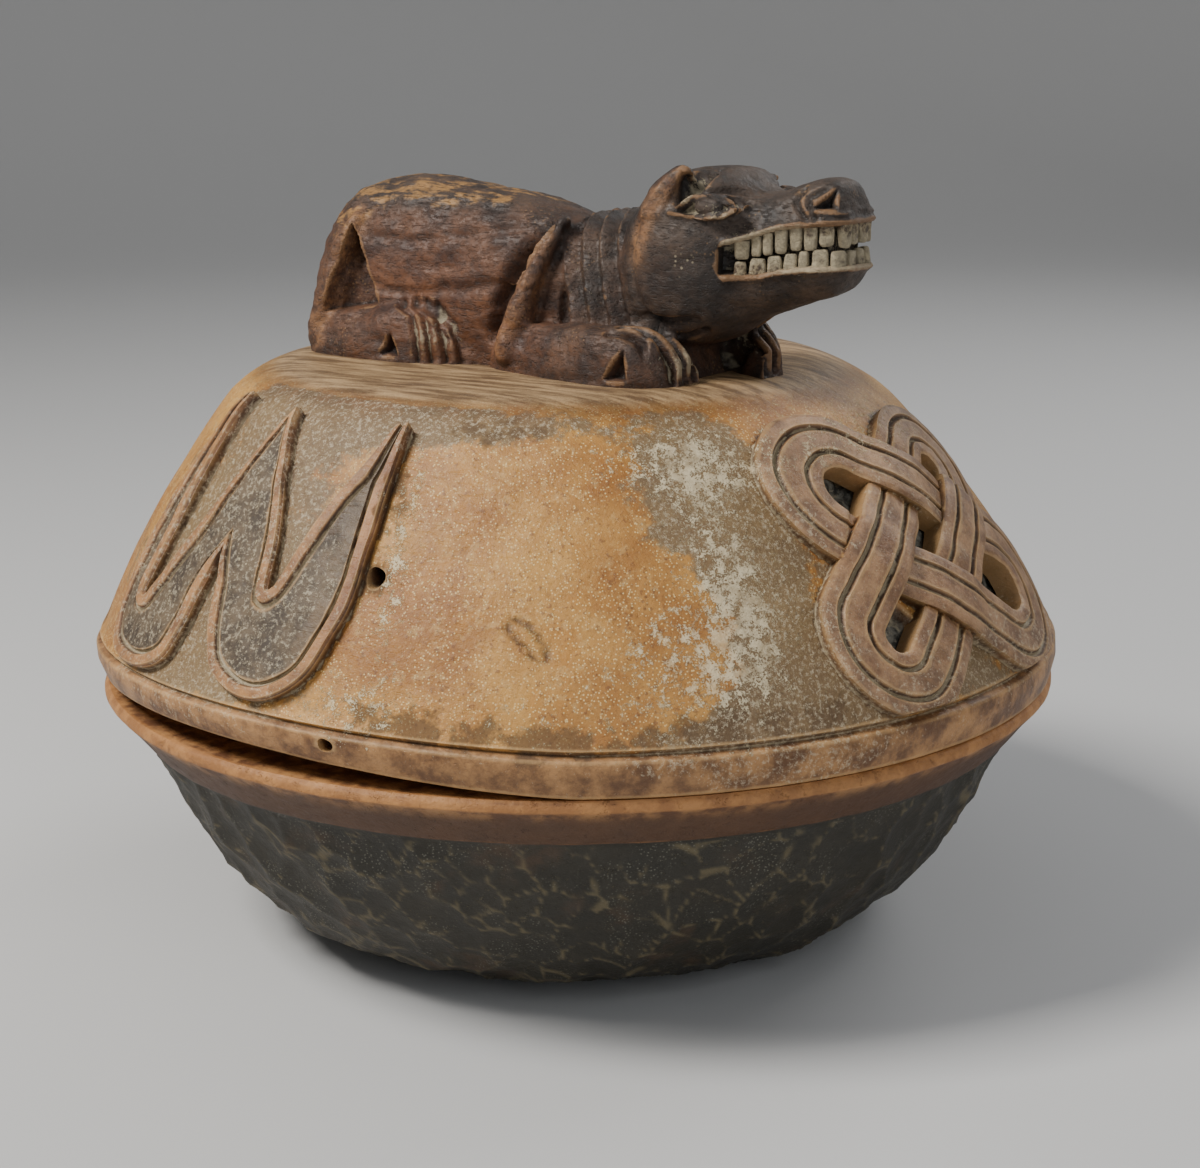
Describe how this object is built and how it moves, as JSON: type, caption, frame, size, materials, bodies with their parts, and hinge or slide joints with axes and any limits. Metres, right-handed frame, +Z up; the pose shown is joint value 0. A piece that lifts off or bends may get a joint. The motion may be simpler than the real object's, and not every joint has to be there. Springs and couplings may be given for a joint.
{
  "type": "carved divination box",
  "caption": "Round carved wooden box: a deep bowl with a domed lift-off lid, carved with an interlaced knot and zigzags and topped by a crouching toothed animal.",
  "frame": {"origin": "centre of the bowl's flat foot", "axes": "+Z up out of the bowl, +X about along the animal towards its head, over the knot"},
  "size_m": [0.3641, 0.3618, 0.2859],
  "materials": {
    "bowl_wood": "adze-faceted hardwood under a black crust, with a worn brown rim band",
    "lid_wood": "hand-burnished honey-brown hardwood with dark stains and pale dust in the carving",
    "figure_wood": "dark brown-black semi-gloss patina, worn to ochre on the rump, with pale residue in the teeth"
  },
  "bodies": {
    "bowl": {"bowl": "bowl_wood"},
    "lid": {"lid": "lid_wood", "lid_figure": "figure_wood"}
  },
  "joints": [
    {"name": "lid_lift", "type": "slide", "parent": "bowl", "child": "lid", "axis": [0, 0, 1], "range_m": [0, 0.2]}
  ]
}
